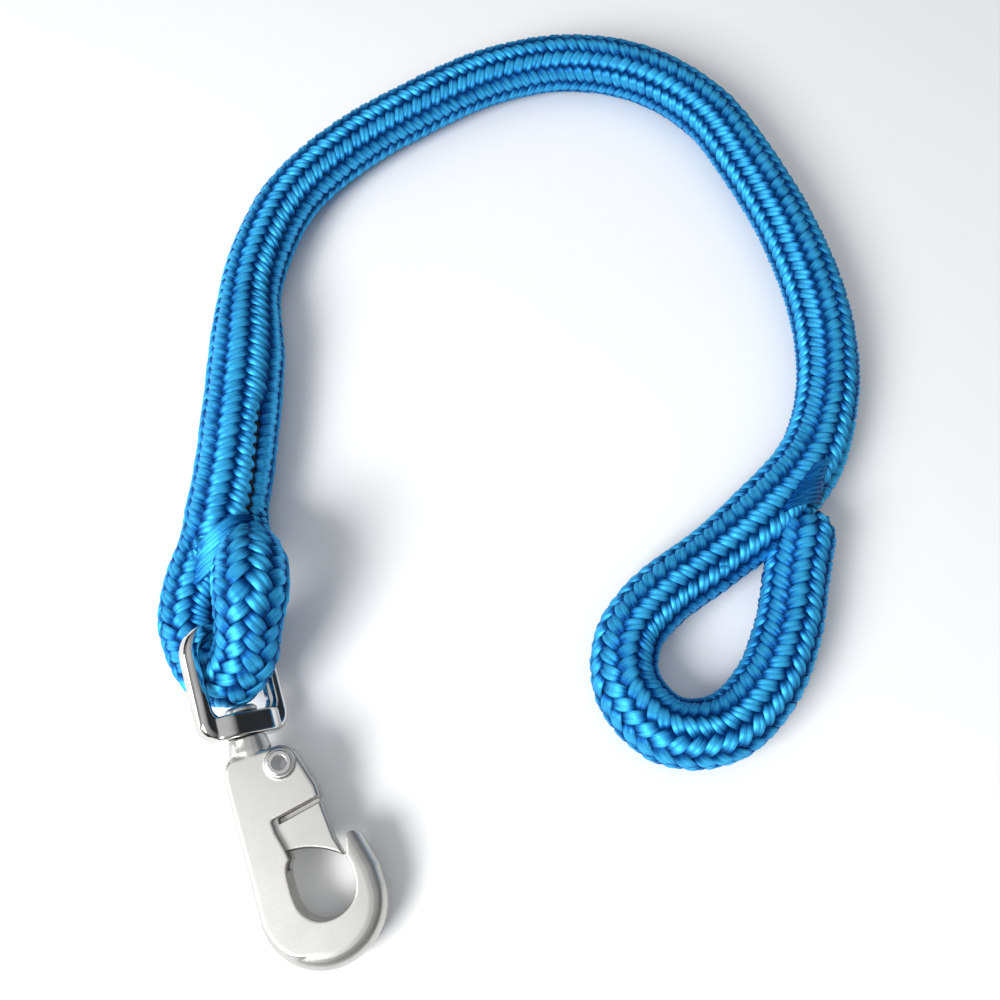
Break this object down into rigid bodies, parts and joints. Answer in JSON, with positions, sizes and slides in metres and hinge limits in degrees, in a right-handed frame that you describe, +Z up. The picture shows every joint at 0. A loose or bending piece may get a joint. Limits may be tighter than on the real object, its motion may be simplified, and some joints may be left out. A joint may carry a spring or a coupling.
{
  "type": "rope lanyard with swivel snap hook",
  "caption": "Short thick blue double-braided rope with a spliced eye at each end and a stainless swivel snap hook in one eye, lying in a loose arch",
  "frame": {"origin": "on the floor, under the middle of the lanyard's box as it lies", "axes": "+Z up from the floor, +Y from the hook towards the top of the arch, +X from the hook side towards the free eye"},
  "size_m": [0.2146, 0.3159, 0.037],
  "materials": {
    "rope_cover": "glossy blue multifilament braid",
    "rope_core": "glossy blue multifilament braid",
    "lock_thread": "black waxed twine",
    "polished_steel": "polished stainless steel",
    "satin_steel": "bead-blasted satin stainless steel",
    "spring_wire": "drawn stainless wire"
  },
  "bodies": {
    "rope": {"rope_cover_main": "rope_cover", "rope_core_main": "rope_core", "rope_cover_hook_eye": "rope_cover", "rope_core_hook_eye": "rope_core", "rope_cover_free_eye": "rope_cover", "rope_core_free_eye": "rope_core", "hook_eye_lock_stitching": "lock_thread", "free_eye_lock_stitching": "lock_thread"},
    "bail": {"swivel_bail": "polished_steel"},
    "hook": {"hook_body": "satin_steel", "gate_pin": "polished_steel", "gate_spring": "spring_wire"},
    "gate": {"gate": "satin_steel"}
  },
  "joints": [
    {"name": "bail_swing", "type": "hinge", "parent": "rope", "child": "bail", "pos_m": [-0.0865, -0.06993, 0.01831], "axis": [0.6499, 0.2927, -0.7014], "range_deg": [-25, 25]},
    {"name": "hook_swivel", "type": "hinge", "parent": "bail", "child": "hook", "pos_m": [-0.0762, -0.1036, 0.0138], "axis": [-0.29, 0.9486, 0.1271], "continuous": true},
    {"name": "gate_hinge", "type": "hinge", "parent": "hook", "child": "gate", "pos_m": [-0.06735, -0.10587, 0.01319], "axis": [-0.0372, 0.1215, -0.9919], "range_deg": [0, 18], "stiffness_Nm_per_rad": 0.4, "springref_deg": -22.92}
  ]
}
